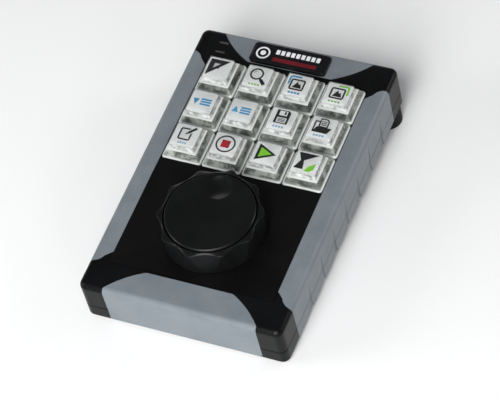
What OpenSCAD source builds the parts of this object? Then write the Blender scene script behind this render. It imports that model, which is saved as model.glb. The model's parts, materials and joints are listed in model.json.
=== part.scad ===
// Desktop jog and shuttle hand controller: twelve clear label keys, a jog wheel inside a
// sprung shuttle ring, and a two-shell case with inlaid grip rails and end panels.
// The case is drawn level, with its top face at z = 0, and then leans forward on its feet.

/* [Case] */
// Width of the case, left to right
body_w = 94.4; // [92:0.2:125]
// Length of the case, front to rear
body_l = 145.5; // [144:0.5:180]
// Thickness of the two shells together
body_t = 22.6; // [22:0.2:32]
// Height of the lower shell
lower_h = 8.1; // [7:0.1:11]
// Thickness of the walls and of the top
wall = 2.6; // [2.2:0.1:3.4]
// Thickness of the floor
floor_t = 2.6; // [2:0.1:3.2]
// Radius of the upright corners
corner_r = 3.4; // [3:0.1:10]
// Radius of the top edge
edge_r = 2.6; // [1.6:0.1:3.2]
// Radius of the bottom edge
base_r = 1.2; // [0.6:0.1:2]

/* [Rails and panels] */
// Thickness of the rails and panels
skin_t = 1.4; // [1:0.1:1.8]
// Distance between two teeth of the grip
tooth_pitch = 14.7; // [8:0.1:18]
// Depth of a tooth of the grip
tooth_d = 0.7; // [0.2:0.05:0.8]
// Radius of the panels' curved edge
panel_r = 46; // [43:0.2:60]
// Thickness of the face plate
plate_t = 1.65; // [1.2:0.05:2]
// How far the face plate stands above the case
plate_proud = 0.25; // [0.1:0.05:0.4]

/* [Keys] */
// Distance from one key's centre to the next
key_pitch = 19.05; // [15.8:0.05:19.6]
// Gap between two caps
key_gap = 0.5; // [0.4:0.05:1.5]
// Height of a key above the top face
key_h = 7.3; // [6.6:0.1:9]
// Travel of a key
key_travel = 4; // [3:0.1:4.8]
// Distance from the rear of the case to the rear row of keys
key_set = 25.65; // [25:0.05:32]

/* [Knob] */
// Radius of the shuttle ring
ring_r = 23.4; // [18:0.1:28]
// Height of the jog wheel above the top face
knob_h = 12.9; // [11:0.1:16]
// Distance from the front of the case to the centre of the knob
knob_set = 43; // [40:0.1:44]
// Number of finger scallops round the ring
scallops = 10; // [6:1:14]
// Depth of a scallop at the top of the ring
scallop_d = 1.9; // [0.5:0.1:2]
// Radius of the finger dimple
dimple_r = 6.3; // [4:0.1:6.5]
// Radius of the jog shaft
shaft_r = 2; // [1.6:0.1:2.4]
// Radius of the shuttle sleeve
sleeve_r = 3.5; // [3.1:0.1:4]

/* [Badge and windows] */
// Length of the badge
badge_w = 36.8; // [20:0.2:40]
// Width of the badge
badge_l = 10.8; // [6:0.1:10.8]
// Thickness of the badge
badge_t = 1.5; // [0.6:0.1:2.5]
// Length of a status window
window_w = 4.4; // [2:0.1:5]

/* [Feet] */
// Radius of a rear foot
foot_r = 6.3; // [4:0.1:7]
// Height of a rear foot
foot_h = 9.2; // [4:0.1:14]
// Radius of a front pad
pad_r = 5; // [3:0.1:6]
// Height of a front pad
pad_h = 1.5; // [1:0.1:3]

/* [Hidden] */
key_names = ["11", "12", "13", "14", "21", "22", "23", "24", "31", "32", "33", "34"];
$fn = 64;

black = "#1b1c1e";
grey = "#8b97a5";
clear_plastic = [0.85, 0.9, 0.9, 0.45];

// clearances: snug for pieces that stay put, running for round pieces that turn or slide
snug = 0.05;
trim_gap = 0.1;
running = 0.03;

// levels of the case, downwards from the top face
parting_z = lower_h - body_t;
floor_z = floor_t - body_t;
pocket_t = skin_t + trim_gap;
lip_h = 1.4;
lip_t = 0.8;
line_w = 0.45;
line_d = 0.3;

// key block: row 1 is at the front
cols = 4;
rows = 3;
cap_half = (key_pitch - key_gap) / 2;
rear_row_y = body_l / 2 - key_set;
block_y = rear_row_y - (rows - 1) * key_pitch / 2;
well_gap = 0.25;
well_w = cols * key_pitch - key_gap + 2 * well_gap;
well_l = rows * key_pitch - key_gap + 2 * well_gap;
well_front = block_y - well_l / 2;
shroud_t = 1.2;

// inner edge of the rails, which is also the edge of the face plate
face_half = well_w / 2 + 0.25;
face_front = 14.85 - body_l / 2;

// levels of a key, of its switch and of the board, each hung from the one above
rim_z = -1;
shoulder_z = 3.7;
deck_t = 0.8;
boss_l = 3.05;
guide_l = 2;
collar_t = 1;
nose_l = 1.2;
upper_h = 4.8;
lid_t = 0.65;
card_t = 0.3;
card_half = cap_half - 3.65;
card_top = key_h - lid_t - snug;
lid_half = cap_half - 3.05;
boss_end = shoulder_z - deck_t - boss_l;
housing_top = boss_end - key_travel;
ceiling_z = housing_top - guide_l;
collar_end = ceiling_z - snug - collar_t;
nose_end = collar_end - nose_l;
cavity_z = nose_end - key_travel - 0.2;
board_top = cavity_z - 0.8;
board_t = 1.6;
mount_z = housing_top - upper_h;
mount_t = 1.5;
plunger_r = 3;
collar_r = 3.9;
cavity_r = 4.2;
peg_r = 1.6;
housing_half = 6.9;

// knob
knob_y = knob_set - body_l / 2;
groove_w = 0.6;
ring_wall = 2.8;
ring_top = knob_h - 1.2;
ring_bottom = plate_proud + 0.35;
web_z = 4;
web_t = 2;
hub_r = 6;
bush_r = 4.5;
bush_top = 3.4;
nut_t = 2;
scallop_phase = 34;
scallop_r = 19;
scallop_lean = 9;
jog_r = ring_r - ring_wall - groove_w;
jog_slab = 2.5;
dimple_d = 1.8;
dimple_set = jog_r - dimple_r - 0.6;
encoder_w = 26;
sleeve_end = -9;
shaft_end = -12;

// rails: the ends are rounded by a circle, and the panels mirror each other
rail_end_r = 6;
rail_end_y = body_l / 2 - 19.65;
rail_flat = body_l / 2 - 20.35;
rail_slope = 4.2;
panel_flat = body_l / 2 - 13.95;
panel_half = body_w / 2 - 11.6;
panel_y = panel_flat + 41.4;

// board, screws and feet
board_half = 37;
board_front = -body_l / 2 + 16.5;
board_rear = body_l / 2 - 13.5;
tongue_half = 10;
case_screw_x = 26.5;
case_screw_y = body_l / 2 - 7.5;
case_screw_r = 1.5;
case_head_r = 2.7;
case_head_t = 2.2;
head_sink = 1.8;
case_head_z = head_sink + case_head_t - body_t - snug;
boss_r = 3.7;
inner_screw_r = 1.2;
inner_screw_l = 6;
inner_head_r = 2.1;
inner_head_t = 1.6;
post_r = 2.6;
post_x = well_w / 2 + shroud_t + 2;
standoff_x = 34;
standoff_y = [board_front + 4, board_rear - 3];
foot_x = body_w / 2 - 6.5;
foot_y = body_l / 2 - 6.5;
pad_x = body_w / 2 - 9.2;
pad_y = 9.8 - body_l / 2;
spigot_r = 2.5;
spigot_l = 1.8;
pad_sink = 0.6;

// windows, badge and socket
badge_x = -1.45;
badge_y = body_l / 2 - 8.3;
window_x = -body_w / 2 + 12.8;
window_y = [body_l / 2 - 6.55, body_l / 2 - 11.85];
window_l = 1.1;
socket_w = 7.7;
socket_h = 3.9;
socket_l = 9.2;
socket_front = body_l / 2 - 0.6;

// stance: the case leans until the rear feet and the front pads are level
tilt = atan((foot_h - pad_h) / (foot_y - pad_y));
lift = (body_t + pad_h) * cos(tilt) - pad_y * sin(tilt);
back_end = max((foot_y + foot_r) / cos(tilt) + lift * tan(tilt),
    (body_l / 2 - base_r) * cos(tilt) + (body_t - base_r) * sin(tilt) + base_r);
front_end = (edge_r - body_l / 2) * cos(tilt) + edge_r * sin(tilt) - edge_r;
shift = -(back_end + front_end) / 2;

// from the level case to the part's own frame
module placed() translate([0, shift, lift]) rotate([tilt, 0, 0]) children();

// everything below the surface that the part stands on
module ground() rotate([-tilt, 0, 0]) translate([-body_w, -body_l, -lift - 50])
    cube([2 * body_w, 2 * body_l, 50]);

module both_sides() {
    children();
    mirror([1, 0, 0]) children();
}

// rectangle with round corners, in plan
module plan(w, l, r) {
    square([w - 2 * r, l], center = true);
    square([w, l - 2 * r], center = true);
    for (x = [-1, 1], y = [-1, 1]) translate([x * (w / 2 - r), y * (l / 2 - r)]) circle(r);
}

module case_plan(inset) plan(body_w - 2 * inset, body_l - 2 * inset, max(corner_r - inset, 0.8));

// section of the case: a bar with a large radius above and a small one below
module bar_section(w) {
    translate([-w / 2, base_r - body_t]) square([w, body_t - base_r - edge_r]);
    translate([edge_r - w / 2, -body_t / 2]) square([w - 2 * edge_r, body_t / 2]);
    translate([base_r - w / 2, -body_t]) square([w - 2 * base_r, body_t / 2]);
    for (side = [-1, 1]) {
        translate([side * (w / 2 - edge_r), -edge_r]) circle(edge_r);
        translate([side * (w / 2 - base_r), base_r - body_t]) circle(base_r);
    }
}

// the whole outer form: a round pillar at each corner and a bar along each side
module outer_form() {
    for (x = [-1, 1], y = [-1, 1]) translate([x * (body_w / 2 - corner_r), y * (body_l / 2 - corner_r), 0])
        rotate_extrude() intersection() {
            bar_section(2 * corner_r);
            translate([0, -body_t]) square([corner_r, body_t]);
        }
    translate([0, body_l / 2 - corner_r, 0]) rotate([90, 0, 0])
        linear_extrude(body_l - 2 * corner_r) bar_section(body_w);
    translate([corner_r - body_w / 2, 0, 0]) rotate([90, 0, 90])
        linear_extrude(body_w - 2 * corner_r) bar_section(body_l);
}

// upright prism through the whole case over one rail, on the right side
module rail_prism(grow = 0) {
    inner = face_half - grow;
    end_x = body_w / 2 - 0.2;
    slope_y = rail_end_y + (rail_end_r + grow) * 0.6;
    tall(2) polygon([
        [inner, -rail_flat - grow], [inner, rail_flat + grow], [end_x - rail_slope, slope_y],
        [end_x, rail_end_y], [end_x + 2, rail_end_y], [end_x + 2, -rail_end_y],
        [end_x, -rail_end_y], [end_x - rail_slope, -slope_y]]);
    for (side = [-1, 1]) translate([end_x, side * rail_end_y, 0])
        pillar(rail_end_r + grow, -body_t - 2, 2);
}

// the same over the rear panel: a circle with a straight edge across its front
module panel_prism(grow = 0) tall(2) intersection() {
    translate([-panel_half - grow, panel_flat - grow]) square([2 * (panel_half + grow), body_l]);
    translate([0, panel_y]) circle(panel_r + grow);
}

// a plan drawn up through the whole case, past its top and bottom
module tall(past) translate([0, 0, -body_t - past]) linear_extrude(body_t + 2 * past) children();

module core(depth) translate([0, 0, -body_t - 4]) linear_extrude(body_t + 4 - depth) case_plan(depth);

// a skin is the layer just under the outer form, inside the given prism
module skin() difference() {
    intersection() {
        outer_form();
        children();
    }
    core(skin_t);
}

// the recess that a skin lies in
module skin_pocket() difference() {
    children();
    core(pocket_t);
}

module trim_pockets() {
    both_sides() skin_pocket() rail_prism(trim_gap);
    for (turn = [0, 180]) rotate(turn) skin_pocket() panel_prism(trim_gap);
}

// the fine line between the two shells
module parting_line(depth) translate([0, 0, parting_z - line_w]) linear_extrude(line_w) difference() {
    square([2 * body_w, 2 * body_l], center = true);
    case_plan(depth);
}

module socket_cut(gap) translate([-socket_w / 2 - gap, socket_front - socket_l - 1, board_top - gap])
    cube([socket_w + 2 * gap, socket_l + 5, socket_h + 2 * gap]);

module at_case_screws() for (x = [-1, 1], y = [-1, 1])
    translate([x * case_screw_x, y * case_screw_y, 0]) children();

module at_posts() for (x = [-1, 1], y = [-1, 0, 1])
    translate([x * post_x, block_y + y * key_pitch * 1.2, 0]) children();

module at_standoffs() for (x = [-1, 1], y = standoff_y) translate([x * standoff_x, y, 0]) children();

module at_windows() for (y = window_y) translate([window_x, y, 0]) children();

// a bar between two levels
module pillar(r, low, high) translate([0, 0, low]) cylinder(r = r, h = high - low);

module block(size_x, size_y, low, high) translate([-size_x / 2, -size_y / 2, low])
    cube([size_x, size_y, high - low]);

module top_shell() color(black) difference() {
    union() {
        difference() {
            outer_form();
            block(2 * body_w, 2 * body_l, -body_t - 1, parting_z);
            translate([0, 0, -body_t]) linear_extrude(body_t - wall) case_plan(wall);
        }
        translate([0, block_y, 0]) block(well_w + 2 * shroud_t, well_l + 2 * shroud_t, mount_z, -wall / 2);
        at_posts() pillar(post_r, mount_z, -wall / 2);
        at_case_screws() pillar(boss_r, parting_z, -wall / 2 - pocket_t / 2);
    }
    translate([0, block_y, 0]) block(well_w, well_l, -body_t, 1);
    translate([-face_half - 0.01, face_front - snug, plate_proud - plate_t - snug])
        cube([2 * face_half + 0.02, well_front - face_front + 2 * snug, 5]);
    trim_pockets();
    translate([0, knob_y, 0]) pillar(bush_r + snug, -wall - 1, 1);
    at_windows() block(window_w, window_l, -wall - 1, 1);
    at_posts() pillar(inner_screw_r + running, mount_z - 1, mount_z + inner_screw_l - mount_t + 0.3);
    at_case_screws() pillar(case_screw_r + running, parting_z - 1, parting_z + 8);
    socket_cut(0.3);
}

module bottom_shell() color(black) difference() {
    union() {
        difference() {
            outer_form();
            block(2 * body_w, 2 * body_l, parting_z, 1);
            translate([0, 0, floor_z]) linear_extrude(body_t) case_plan(wall);
        }
        translate([0, 0, floor_z]) linear_extrude(lower_h - floor_t + lip_h) difference() {
            case_plan(wall + trim_gap);
            case_plan(wall + trim_gap + lip_t);
        }
        translate([0, 0, floor_z]) linear_extrude(lower_h - floor_t) difference() {
            case_plan(wall / 2);
            case_plan(wall + trim_gap + lip_t);
        }
        at_standoffs() pillar(post_r, floor_z - 1, board_top - board_t);
        at_case_screws() pillar(boss_r + 0.5, floor_z - 1, parting_z);
    }
    trim_pockets();
    parting_line(line_d);
    at_standoffs() pillar(inner_screw_r + running, board_top - inner_screw_l - 0.3, 0);
    at_case_screws() {
        pillar(case_screw_r + 0.1, -body_t - 1, 0);
        pillar(case_head_r + 0.3, -body_t - 1, case_head_t + head_sink - body_t);
    }
    for (x = [-1, 1]) {
        translate([x * foot_x, foot_y, 0]) pillar(spigot_r + snug, -body_t - 1, spigot_l + snug - body_t);
        translate([x * pad_x, pad_y, 0]) pillar(pad_r + snug, -body_t - 1, pad_sink - body_t);
    }
    socket_cut(0.3);
}

// each tooth of the grip leans, so that it fades out towards the top edge
module rail_right() color(grey) difference() {
    skin() rail_prism();
    parting_line(tooth_d + 0.2);
    for (i = [-3:3]) translate([body_w / 2 + snug, i * tooth_pitch + 1.85, -edge_r])
        rotate([0, atan(tooth_d / (body_t - edge_r)), 0]) translate([tooth_d, 0, -body_t])
            linear_extrude(body_t)
                polygon([[-tooth_d, 0], [1, 0], [1, -tooth_pitch], [0, 0.4 - tooth_pitch]]);
}

module rail_left() mirror([1, 0, 0]) rail_right();

module rear_panel() color(grey) difference() {
    skin() panel_prism();
    socket_cut(0.5);
}

module front_panel() color(grey) rotate(180) skin() panel_prism();

module faceplate() color(black) difference() {
    translate([trim_gap - face_half, face_front, plate_proud - plate_t])
        cube([2 * (face_half - trim_gap), well_front - face_front - snug, plate_t]);
    translate([0, knob_y, 0]) pillar(bush_r + snug, -body_t, 1);
}

module badge() color("#0c0c0e") translate([badge_x, badge_y, 0]) {
    linear_extrude(badge_t - 0.4) plan(badge_w, badge_l, 1.3);
    linear_extrude(badge_t) plan(badge_w - 1.2, badge_l - 1.2, 1);
}

module status_windows() color([0.25, 0.2, 0.2, 0.6]) at_windows() {
    block(window_w - 2 * snug, window_l - 2 * snug, -wall - 1, -0.1);
    block(window_w + 1.4, window_l + 1.4, -wall - 1.5, -wall - snug);
}

module at_keys() for (column = [0:cols - 1], row = [0:rows - 1]) key_place(row, column) children();

module key_place(row, column) translate([
    (column - (cols - 1) / 2) * key_pitch, rear_row_y - (rows - 1 - row) * key_pitch, 0]) children();

// a square form whose half width changes with height: [half width, height] upwards
module square_form(profile) {
    turned = [for (i = [len(profile) - 1:-1:0]) [-profile[i][0], profile[i][1]]];
    reach = 2 * max([for (p = profile) p[0]]) + 2;
    intersection() {
        rotate([90, 0, 0]) linear_extrude(reach, center = true) polygon(concat(profile, turned));
        rotate([90, 0, 90]) linear_extrude(reach, center = true) polygon(concat(profile, turned));
    }
}

module key_cap() color(clear_plastic) difference() {
    square_form([[lid_half, shoulder_z + snug], [lid_half - 0.25, key_h - 0.4], [lid_half - 0.55, key_h]]);
    square_form([[card_half + 0.1, 0], [card_half + 0.1, key_h - lid_t]]);
}

module key_card() color("white")
    block(2 * card_half, 2 * card_half, card_top - card_t, card_top);

module key_base() {
    color(clear_plastic) {
        difference() {
            square_form([[cap_half, rim_z], [cap_half, -0.1], [cap_half - 0.7, 0.3],
                [cap_half - 2.2, shoulder_z], [card_half - 0.2, shoulder_z],
                [card_half - 0.3, card_top - card_t - snug]]);
            square_form([[cap_half - 1, rim_z - 1], [cap_half - 1.1, 0],
                [cap_half - 3.1, shoulder_z - deck_t]]);
        }
        difference() {
            pillar(plunger_r - 0.2, boss_end, shoulder_z - deck_t / 2);
            pillar(peg_r + snug / 2, boss_end - 1, shoulder_z - deck_t);
        }
    }
    color("#3a3a3c") {
        pillar(peg_r, boss_end - 1, shoulder_z - deck_t - snug);
        pillar(plunger_r, ceiling_z - 1, boss_end - snug);
        pillar(collar_r, collar_end, ceiling_z - snug);
        pillar(2, nose_end, collar_end + 0.1);
    }
}

module switch_plate() color("silver") difference() {
    translate([0, block_y, 0])
        block(2 * (post_x + post_r), well_l + 2 * shroud_t, mount_z - mount_t, mount_z - snug);
    at_keys() block(2 * housing_half + 2 * snug, 2 * housing_half + 2 * snug, -body_t, 0);
    at_posts() pillar(inner_screw_r + 0.15, -body_t, 0);
}

module switch_housings() color("#2b2b2e") at_keys() difference() {
    union() {
        block(2 * housing_half, 2 * housing_half, board_top + snug, mount_z);
        block(2 * housing_half + 1.6, 2 * housing_half + 1.6, mount_z, mount_z + 1);
        square_form([[housing_half - 0.1, mount_z], [housing_half - 0.1, mount_z + 1.4],
            [housing_half - 1.5, housing_top]]);
    }
    pillar(cavity_r, cavity_z, ceiling_z);
    pillar(plunger_r + running, ceiling_z - 1, housing_top + 1);
}

// a coil spring as a four-sided wire swept round a helix
module coil(r, wire, low, high, turns, steps = 8) {
    rings = turns * steps;
    points = [for (i = [0:rings], k = [0:3])
        let (a = 360 * i / steps, b = 90 * k, reach = r + wire * cos(b))
        [reach * cos(a), reach * sin(a), low + wire + (high - low - 2 * wire) * i / rings + wire * sin(b)]];
    sides = [for (i = [0:rings - 1], k = [0:3])
        let (a = 4 * i + k, b = 4 * i + (k + 1) % 4) [a, a + 4, b + 4, b]];
    polyhedron(points, concat([[0, 1, 2, 3]], sides, [[for (k = [3:-1:0]) 4 * rings + k]]));
}

module switch_springs() color("#c9a94f") at_keys() coil(3, 0.2, cavity_z + snug, collar_end - snug, 3);

// main board with its chips: the keys' switches and the encoder stand on it
module circuit_board() {
    color("#1d5c38") difference() {
        union() {
            translate([-board_half, board_front, board_top - board_t])
                cube([2 * board_half, board_rear - board_front, board_t]);
            translate([-tongue_half, board_rear - 1, board_top - board_t])
                cube([2 * tongue_half, body_l / 2 - wall - 1 - board_rear, board_t]);
        }
        at_standoffs() pillar(inner_screw_r + 0.15, -body_t, 0);
    }
    color("#222222") for (chip = [[-25, 12, 10], [24, 6, 7], [25, 20, 9], [-24, -6, 6]])
        translate([chip[0], knob_y + chip[1] - 6, 0]) block(chip[2], chip[2], board_top, board_top + 1.4);
}

module usb_socket() color("silver") translate([0, socket_front - socket_l / 2, 0]) {
    difference() {
        block(socket_w, socket_l, board_top + snug / 2, board_top + socket_h);
        translate([0, 2, 0]) block(socket_w - 0.8, socket_l, board_top + 0.4, board_top + socket_h - 0.4);
    }
    translate([0, -0.5, 0]) block(3.6, socket_l - 4, board_top + 1.4, board_top + 2.3);
    translate([0, 2 - socket_l / 2 + 0.4, 0]) block(3.6, 1.2, board_top + 0.3, board_top + 2.3);
}

module screw(head_radius, head_h, shank_r, length) difference() {
    union() {
        pillar(head_radius, 0, head_h);
        pillar(shank_r, -length, head_h / 2);
    }
    translate([0, 0, head_h / 2]) cylinder(r = shank_r * 0.75, h = head_h, $fn = 6);
}

module case_screws() color("#8a8a8a") at_case_screws() translate([0, 0, case_head_z])
    rotate([180, 0, 0]) screw(case_head_r, case_head_t, case_screw_r, parting_z + 7 - case_head_z);

module inner_screws() color("#b0b0b0") {
    at_standoffs() translate([0, 0, board_top])
        screw(inner_head_r, inner_head_t, inner_screw_r, inner_screw_l);
    at_posts() translate([0, 0, mount_z - mount_t]) rotate([180, 0, 0])
        screw(inner_head_r, inner_head_t, inner_screw_r, inner_screw_l);
}

module front_feet() color(black) for (x = [-1, 1]) difference() {
    translate([x * pad_x, pad_y, 0]) pillar(pad_r, -body_t - pad_h - 2, pad_sink - snug - body_t);
    ground();
}

module rear_feet() color(black) for (x = [-1, 1]) difference() {
    translate([x * foot_x, foot_y, 0]) {
        pillar(foot_r, -body_t - foot_h - 2, -body_t);
        pillar(spigot_r, -body_t - 1, spigot_l - body_t);
    }
    ground();
}

module encoder_body() color("#3c4046") translate([0, knob_y, 0]) difference() {
    union() {
        block(encoder_w, encoder_w, board_top, -wall - snug);
        pillar(bush_r, -wall - 1, bush_top);
    }
    pillar(sleeve_r + running, sleeve_end, bush_top + 1);
    pillar(shaft_r + running, shaft_end, sleeve_end + 1);
}

module bush_nut() color("#b9b9b9") translate([0, knob_y, 0]) difference() {
    translate([0, 0, plate_proud + snug]) cylinder(r = bush_r + 2.3, h = nut_t, $fn = 6);
    pillar(bush_r + running, -1, nut_t + 1);
}

module jog_wheel() color("#222326") translate([0, knob_y, 0]) difference() {
    union() {
        pillar(jog_r, knob_h - jog_slab - 2, knob_h - 0.5);
        translate([0, 0, knob_h - 0.5]) cylinder(r1 = jog_r, r2 = jog_r - 0.5, h = 0.5);
    }
    difference() {
        pillar(jog_r - 2, 0, knob_h - jog_slab);
        pillar(shaft_r + 3, 0, knob_h);
    }
    pillar(shaft_r + snug / 2, 0, knob_h - 1.9);
    translate([0, dimple_set, knob_h - dimple_d])
        translate([0, 0, (dimple_r * dimple_r + dimple_d * dimple_d) / (2 * dimple_d)])
            sphere((dimple_r * dimple_r + dimple_d * dimple_d) / (2 * dimple_d));
}

module jog_shaft() color("silver") translate([0, knob_y, 0]) pillar(shaft_r, shaft_end + 0.1, knob_h - 2);

module shuttle_sleeve() color("silver") translate([0, knob_y, 0]) difference() {
    pillar(sleeve_r, sleeve_end + 0.1, web_z + web_t + 1.4);
    pillar(shaft_r + running, sleeve_end - 1, knob_h);
}

// the ring's top slopes outwards, and a lever-like web joins it to the sleeve
module shuttle_ring() color("#222326") translate([0, knob_y, 0]) difference() {
    rotate_extrude() polygon([
        [sleeve_r + running / 2, web_z], [hub_r, web_z], [ring_r - 2.2, web_z], [ring_r - 2.2, ring_bottom],
        [ring_r, ring_bottom], [ring_r, ring_top - 0.3], [ring_r - 0.3, ring_top],
        [ring_r - ring_wall + 0.3, knob_h - 0.5], [ring_r - ring_wall, knob_h - 0.8],
        [ring_r - ring_wall, web_z + web_t], [hub_r, web_z + web_t], [hub_r, web_z + web_t + 1.5],
        [sleeve_r + running / 2, web_z + web_t + 1.5]]);
    for (i = [0:scallops - 1]) rotate(scallop_phase + 360 * i / scallops)
        translate([ring_r - scallop_d + scallop_r, 0, ring_top]) rotate([0, -scallop_lean, 0])
            translate([0, 0, -30]) cylinder(r = scallop_r, h = 60);
}

placed() top_shell();
placed() bottom_shell();
placed() rail_left();
placed() rail_right();
placed() front_panel();
placed() rear_panel();
placed() faceplate();
placed() badge();
placed() status_windows();
placed() switch_plate();
placed() switch_housings();
placed() switch_springs();
placed() circuit_board();
placed() usb_socket();
placed() case_screws();
placed() inner_screws();
placed() front_feet();
placed() rear_feet();
placed() encoder_body();
placed() bush_nut();
placed() jog_wheel();
placed() jog_shaft();
placed() shuttle_ring();
placed() shuttle_sleeve();
for (row = [0:rows - 1], column = [0:cols - 1]) {
    name = key_names[row * cols + column];
    placed() key_place(row, column) key_cap();
    placed() key_place(row, column) key_card();
    placed() key_place(row, column) key_base();
}
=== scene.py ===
import json
import math

import bpy
import numpy as np
from mathutils import Matrix, Vector


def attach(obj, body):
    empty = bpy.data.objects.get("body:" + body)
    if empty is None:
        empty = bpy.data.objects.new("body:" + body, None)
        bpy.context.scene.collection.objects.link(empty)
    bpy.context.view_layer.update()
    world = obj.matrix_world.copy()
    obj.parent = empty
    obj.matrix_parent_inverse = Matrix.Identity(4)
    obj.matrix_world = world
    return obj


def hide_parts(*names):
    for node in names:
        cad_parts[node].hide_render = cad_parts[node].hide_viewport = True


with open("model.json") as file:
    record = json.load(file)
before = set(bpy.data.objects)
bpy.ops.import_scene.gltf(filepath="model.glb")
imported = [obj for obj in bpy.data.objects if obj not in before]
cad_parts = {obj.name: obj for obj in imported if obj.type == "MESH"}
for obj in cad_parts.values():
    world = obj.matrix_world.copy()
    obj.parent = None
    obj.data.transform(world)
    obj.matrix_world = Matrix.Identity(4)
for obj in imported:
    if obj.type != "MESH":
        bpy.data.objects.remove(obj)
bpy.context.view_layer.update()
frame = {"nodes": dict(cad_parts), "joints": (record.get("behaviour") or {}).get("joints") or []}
nodes = frame["nodes"]
print("frame loaded,", len(nodes), "nodes")

# The case leans forward on its feet. Every shape below is worked out level, in millimetres, with x to the
# right, y to the rear and z up from the case's top face, and toFrame() leans it into its place.
pressAxis = next(joint["axis"] for joint in frame["joints"] if joint["name"] == "key_press_11")
upward = -np.array(pressAxis, float)
rightward = np.array([1.0, 0, 0])
rearward = np.cross(upward, rightward)
axes = np.column_stack([rightward, rearward, upward])
perMetre = 1000
onAxis = 0.001  # how near a section comes to the axis it is turned round, so that its pole stays closed


def nodePoints(name):
    mesh = nodes[name].data
    points = np.empty(len(mesh.vertices) * 3)
    mesh.vertices.foreach_get("co", points)
    return points.reshape(-1, 3)


caseSpan = nodePoints("bottom_shell") @ rearward
topLevel = (nodePoints("top_shell") @ upward).max()
levelOrigin = rearward * (caseSpan.min() + caseSpan.max()) / 2 + upward * topLevel


def toFrame(points):
    return np.asarray(points, float) @ axes.T / perMetre + levelOrigin


def levelBox(name):
    level = (nodePoints(name) - levelOrigin) @ axes * perMetre
    return level.min(0), level.max(0)


def levelMiddle(name):
    low, high = levelBox(name)
    return (low + high) / 2


# half the width of a node from left to right
def levelHalf(name):
    low, high = levelBox(name)
    return (high[0] - low[0]) / 2


# Surfaces. A grid of points is (rows, columns, 3): columns run counter-clockwise seen from outside the top,
# rows run along the section, and then every face points outwards.
def gridFaces(rows, columns, closedRows):
    i = np.arange(rows if closedRows else rows - 1)[:, None]
    j = np.arange(columns)[None, :]
    below, above = i * columns, (i + 1) % rows * columns
    after = (j + 1) % columns
    quads = np.stack(np.broadcast_arrays(below + j, below + after, above + after, above + j), -1)
    return quads.reshape(-1, 4).tolist()


# A closed skin over a grid: each end row is closed by a fan to its own middle, or the rows meet.
def skin(grid, closedRows=False):
    rows, columns = grid.shape[:2]
    points = grid.reshape(-1, 3)
    faces = gridFaces(rows, columns, closedRows)
    if closedRows:
        return points, faces
    poles = np.stack([grid[0].mean(0), grid[-1].mean(0)])
    start, end = rows * columns, rows * columns + 1
    j = np.arange(columns)
    after = (j + 1) % columns
    last = (rows - 1) * columns
    faces += np.stack([after, j, np.full(columns, start)], -1).tolist()
    faces += np.stack([last + j, last + after, np.full(columns, end)], -1).tolist()
    return np.vstack([points, poles]), faces


# A section with rounded corners. Each corner is (across, height, radius): the straight runs are cut back by
# radius * tan(half the turn), and the arc between swings round the point that lies a radius from both.
def roundedSection(corners, steps=5):
    corners = [tuple(map(float, corner)) for corner in corners]
    line = [np.array(corners[0][:2])]
    for before, here, after in zip(corners, corners[1:], corners[2:]):
        point, radius = np.array(here[:2]), here[2]
        back, ahead = np.array(before[:2]) - point, np.array(after[:2]) - point
        back, ahead = back / np.linalg.norm(back), ahead / np.linalg.norm(ahead)
        half = math.acos(np.clip(back @ ahead, -1, 1)) / 2
        if radius <= 0 or half > math.radians(89):
            line.append(point)
            continue
        middle = (back + ahead) / np.linalg.norm(back + ahead) * radius / math.sin(half) + point
        start, end = point + back * radius / math.tan(half), point + ahead * radius / math.tan(half)
        turn = math.pi - 2 * half
        share = np.linspace(0, 1, steps + 1)[:, None]
        arc = (np.sin((1 - share) * turn) * (start - middle) + np.sin(share * turn) * (end - middle))
        line.extend(arc / math.sin(turn) + middle)
    line.append(np.array(corners[-1][:2]))
    return np.array(line)


# A section turned round an upright axis: (r cos a, r sin a, z).
def turned(section, centre, columns):
    angle = np.linspace(0, 2 * np.pi, columns, endpoint=False)
    across, height = section[:, :1], section[:, 1:2]
    return np.stack(np.broadcast_arrays(
        centre[0] + across * np.cos(angle), centre[1] + across * np.sin(angle), height), -1)


# A section carried round a rectangle with round corners. The section gives how far each row lies in from
# the outer edge, and each corner keeps its own middle: middle + radius * (cos a, sin a).
leastCorner = 0.12  # no corner is sharper, except where a row closes towards the middle


def carriedRound(section, halfX, halfY, cornerR, centre, steps=6):
    quarter = np.linspace(0, 90, steps + 1)
    angle = np.radians((np.arange(4)[:, None] * 90 + quarter).ravel())
    signX = np.repeat([1, -1, -1, 1], steps + 1)
    signY = np.repeat([1, 1, -1, -1], steps + 1)
    inset, height = section[:, :1], section[:, 1:2]
    radius = np.maximum(cornerR - inset, np.minimum(leastCorner, halfX - inset))
    x = centre[0] + (halfX - inset - radius) * signX + radius * np.cos(angle)
    y = centre[1] + (halfY - inset - radius) * signY + radius * np.sin(angle)
    return np.stack(np.broadcast_arrays(x, y, height), -1)


# A flat print: an outline drawn up from one level to another, closed above and below.
def slab(outline, low, high):
    outline = np.asarray(outline, float)
    count = len(outline)
    points = np.vstack([np.c_[outline, np.full(count, low)], np.c_[outline, np.full(count, high)]])
    j = np.arange(count)
    after = (j + 1) % count
    sides = np.stack([j, after, after + count, j + count], -1).tolist()
    return points, sides + [list(range(count - 1, -1, -1)), list(range(count, 2 * count))]


# The same, between an outer and an inner outline that have as many points as each other.
def hoop(outer, inner, low, high):
    outer, inner = np.asarray(outer, float), np.asarray(inner, float)
    rows = [(outer, low), (outer, high), (inner, high), (inner, low)]
    grid = np.stack([np.c_[line, np.full(len(line), level)] for line, level in rows])
    return skin(grid, closedRows=True)


def joinShells(shells):
    points, faces, first = [], [], 0
    for shellPoints, shellFaces in shells:
        points.append(shellPoints)
        faces += [[index + first for index in face] for face in shellFaces]
        first += len(shellPoints)
    return np.vstack(points), faces


# One piece from closed shells. A shell may come with the number of the material that it takes.
sharpAngle = 38


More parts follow.
